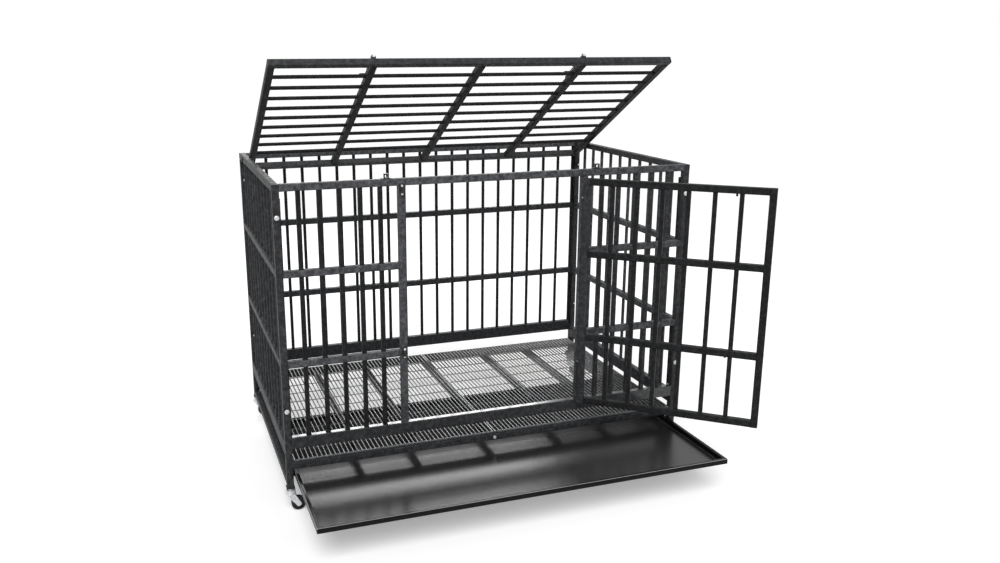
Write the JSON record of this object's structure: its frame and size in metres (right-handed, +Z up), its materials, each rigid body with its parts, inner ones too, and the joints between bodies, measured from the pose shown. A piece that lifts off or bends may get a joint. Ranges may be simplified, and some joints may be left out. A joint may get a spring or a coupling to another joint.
{
  "type": "heavy duty dog crate",
  "caption": "Heavy duty dog crate of square steel tube with a hinged top lid, swing door, barrel bolts, wire floor, pull-out tray and swivel casters.",
  "frame": {"origin": "on the floor under the middle of the frame's footprint", "axes": "+X to the right along the crate's length, +Y to the rear, +Z up"},
  "size_m": [1.2718, 1.1142, 1.2265],
  "materials": {
    "frame_coat": "hammered charcoal powder coat",
    "zinc": "bright zinc plate",
    "latch_steel": "satin black coated steel",
    "grate_wire": "grey coated wire",
    "cap_plastic": "moulded black plastic",
    "tray_enamel": "semi-gloss black enamel",
    "wheel_plastic": "moulded black tread"
  },
  "bodies": {
    "frame": {"left_side_panel": "frame_coat", "right_side_panel": "frame_coat", "rear_panel": "frame_coat", "front_top_rail": "frame_coat", "front_bottom_rail": "frame_coat", "front_left_grille": "frame_coat", "front_right_grille": "frame_coat", "front_lower_rail": "frame_coat", "rear_lower_rail": "frame_coat", "floor_beam": "frame_coat", "side_floor_beams": "frame_coat", "left_floor_grate": "grate_wire", "right_floor_grate": "grate_wire", "left_tray_runner": "frame_coat", "right_tray_runner": "frame_coat", "post_end_caps": "cap_plastic", "panel_bolts": "zinc", "foot_bolts": "latch_steel", "panel_nuts": "latch_steel", "beam_bolts": "zinc", "lid_pivot_bolts": "latch_steel", "lid_pivot_washers": "zinc", "lid_keepers": "latch_steel", "door_keepers": "latch_steel", "keeper_screws": "zinc", "hinge_post_knuckles": "frame_coat", "hinge_pins": "zinc", "caster_stems": "zinc"},
    "lid": {"lid_frame": "frame_coat", "lid_rods": "frame_coat", "lid_bolt_housings": "latch_steel"},
    "left_lid_bolt": {"left_lid_bolt": "latch_steel"},
    "right_lid_bolt": {"right_lid_bolt": "latch_steel"},
    "door": {"door_frame": "frame_coat", "hinge_door_knuckles": "frame_coat", "door_bolt_housings": "latch_steel"},
    "upper_door_bolt": {"upper_door_bolt": "latch_steel"},
    "lower_door_bolt": {"lower_door_bolt": "latch_steel"},
    "tray": {"tray": "tray_enamel"},
    "front_left_caster": {"front_left_fork": "zinc", "front_left_axle": "zinc"},
    "front_left_wheel": {"front_left_wheel": "wheel_plastic"},
    "front_right_caster": {"front_right_fork": "zinc", "front_right_axle": "zinc"},
    "front_right_wheel": {"front_right_wheel": "wheel_plastic"},
    "rear_left_caster": {"rear_left_fork": "zinc", "rear_left_axle": "zinc"},
    "rear_left_wheel": {"rear_left_wheel": "wheel_plastic"},
    "rear_right_caster": {"rear_right_fork": "zinc", "rear_right_axle": "zinc"},
    "rear_right_wheel": {"rear_right_wheel": "wheel_plastic"}
  },
  "joints": [
    {"name": "lid_hinge", "type": "hinge", "parent": "frame", "child": "lid", "pos_m": [0, 0.276, 0.9005], "axis": [-1, 0, 0], "range_deg": [-29.5, 80]},
    {"name": "door_hinge", "type": "hinge", "parent": "frame", "child": "door", "pos_m": [0.2624, -0.377, 0.5545], "axis": [0, 0, 1], "range_deg": [-138.8, 35.2]},
    {"name": "tray_slide", "type": "slide", "parent": "frame", "child": "tray", "axis": [0, -1, 0], "range_m": [-0.32, 0.35]},
    {"name": "left_lid_bolt_slide", "type": "slide", "parent": "lid", "child": "left_lid_bolt", "axis": [0, -0.8704, 0.4924], "range_m": [0, 0.025]},
    {"name": "right_lid_bolt_slide", "type": "slide", "parent": "lid", "child": "right_lid_bolt", "axis": [0, -0.8704, 0.4924], "range_m": [0, 0.025]},
    {"name": "upper_door_bolt_slide", "type": "slide", "parent": "door", "child": "upper_door_bolt", "axis": [0.7524, -0.6587, 0], "range_m": [0, 0.025]},
    {"name": "lower_door_bolt_slide", "type": "slide", "parent": "door", "child": "lower_door_bolt", "axis": [0.7524, -0.6587, 0], "range_m": [0, 0.025]},
    {"name": "front_left_swivel", "type": "hinge", "parent": "frame", "child": "front_left_caster", "pos_m": [-0.6005, -0.3605, 0.0534], "axis": [0, 0, 1], "continuous": true},
    {"name": "front_left_wheel_spin", "type": "hinge", "parent": "front_left_caster", "child": "front_left_wheel", "pos_m": [-0.5805, -0.3605, 0.02], "axis": [0, 1, 0], "continuous": true},
    {"name": "front_right_swivel", "type": "hinge", "parent": "frame", "child": "front_right_caster", "pos_m": [0.6005, -0.3605, 0.0534], "axis": [0, 0, 1], "continuous": true},
    {"name": "front_right_wheel_spin", "type": "hinge", "parent": "front_right_caster", "child": "front_right_wheel", "pos_m": [0.6205, -0.3605, 0.02], "axis": [0, 1, 0], "continuous": true},
    {"name": "rear_left_swivel", "type": "hinge", "parent": "frame", "child": "rear_left_caster", "pos_m": [-0.6005, 0.3605, 0.0534], "axis": [0, 0, 1], "continuous": true},
    {"name": "rear_left_wheel_spin", "type": "hinge", "parent": "rear_left_caster", "child": "rear_left_wheel", "pos_m": [-0.5805, 0.3605, 0.02], "axis": [0, 1, 0], "continuous": true},
    {"name": "rear_right_swivel", "type": "hinge", "parent": "frame", "child": "rear_right_caster", "pos_m": [0.6005, 0.3605, 0.0534], "axis": [0, 0, 1], "continuous": true},
    {"name": "rear_right_wheel_spin", "type": "hinge", "parent": "rear_right_caster", "child": "rear_right_wheel", "pos_m": [0.6205, 0.3605, 0.02], "axis": [0, 1, 0], "continuous": true}
  ]
}
